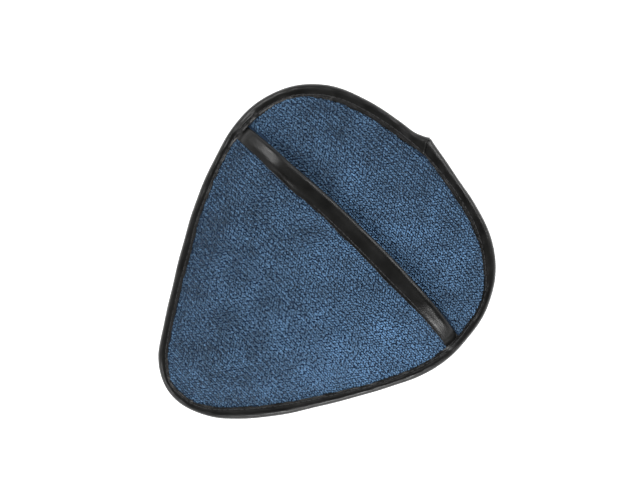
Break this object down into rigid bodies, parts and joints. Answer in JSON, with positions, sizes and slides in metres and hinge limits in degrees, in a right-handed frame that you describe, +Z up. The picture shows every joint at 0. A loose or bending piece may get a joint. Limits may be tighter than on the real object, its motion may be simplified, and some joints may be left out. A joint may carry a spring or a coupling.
{
  "type": "hand polishing pad",
  "caption": "Spade-shaped padded microfibre polishing pad with a hand pocket across its back and a taped edge.",
  "frame": {"origin": "on the floor under the middle of the pad's outline, level with the polishing face", "axes": "+Z up out of the back of the pad, +Y along the pad from its tip to its crown, which is the way the hand's heel points, +X to the right seen from above with the tip down"},
  "size_m": [0.167, 0.1874, 0.023],
  "materials": {
    "microfibre": "slate blue ribbed terry pile",
    "foam": "open-cell polyurethane foam",
    "binding": "soft satin black polyurethane-coated tape",
    "thread": "black twisted polyester"
  },
  "bodies": {
    "root": {"polishing_face": "microfibre", "foam_core": "foam", "back_panel": "microfibre", "pocket_panel": "microfibre", "edge_binding": "binding", "pocket_binding": "binding", "rim_needle_thread": "thread", "rim_bobbin_thread": "thread", "mouth_needle_thread": "thread", "mouth_bobbin_thread": "thread"}
  },
  "joints": []
}
